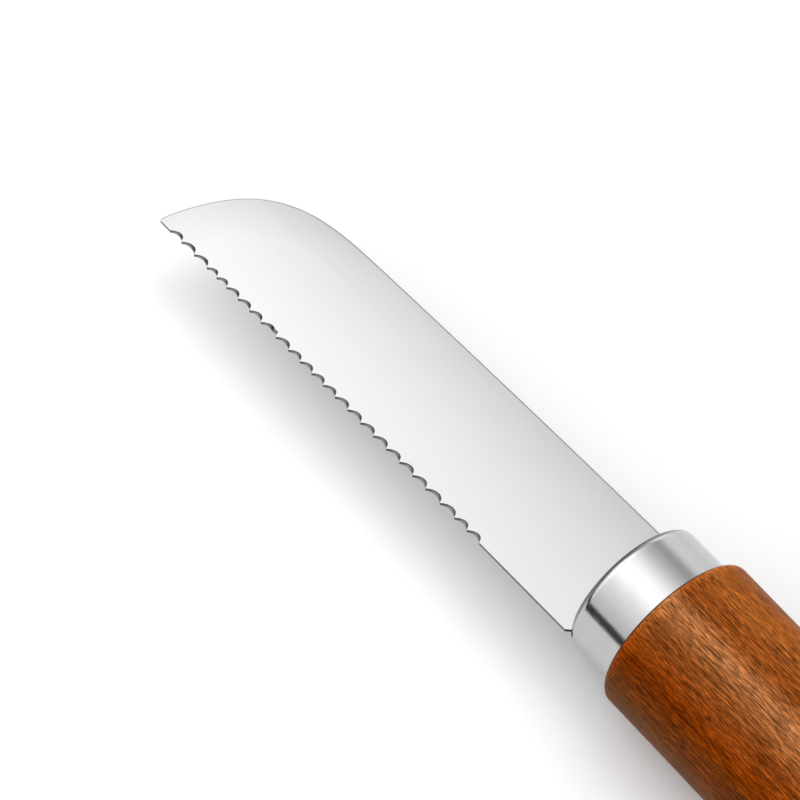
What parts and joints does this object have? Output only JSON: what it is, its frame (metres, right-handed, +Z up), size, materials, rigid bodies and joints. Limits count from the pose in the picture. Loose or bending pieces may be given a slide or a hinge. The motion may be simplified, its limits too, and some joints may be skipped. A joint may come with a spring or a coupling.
{
  "type": "serrated kitchen knife",
  "caption": "Small kitchen knife with a one-side scalloped edge, a curved nose, a rounded steel ferrule and a turned hardwood handle, for slicing bread, fruit and tomatoes.",
  "frame": {"origin": "under the middle of the knife, on the table that the lowest side of the handle touches", "axes": "+X along the knife from the point to the butt, +Y from the cutting edge to the spine, +Z up, on the side that the teeth are ground from"},
  "size_m": [0.2028, 0.0262, 0.0251],
  "materials": {
    "blade_steel": "fine ground stainless steel, satin",
    "ferrule_steel": "drawn and tumbled stainless steel, semi-bright",
    "handle_wood": "turned red-brown hardwood with fine dark pores, oiled satin",
    "tang_cement": "set bedding resin, matte"
  },
  "bodies": {
    "root": {"blade": "blade_steel", "ferrule": "ferrule_steel", "handle": "handle_wood", "tang_cement": "tang_cement"}
  },
  "joints": []
}
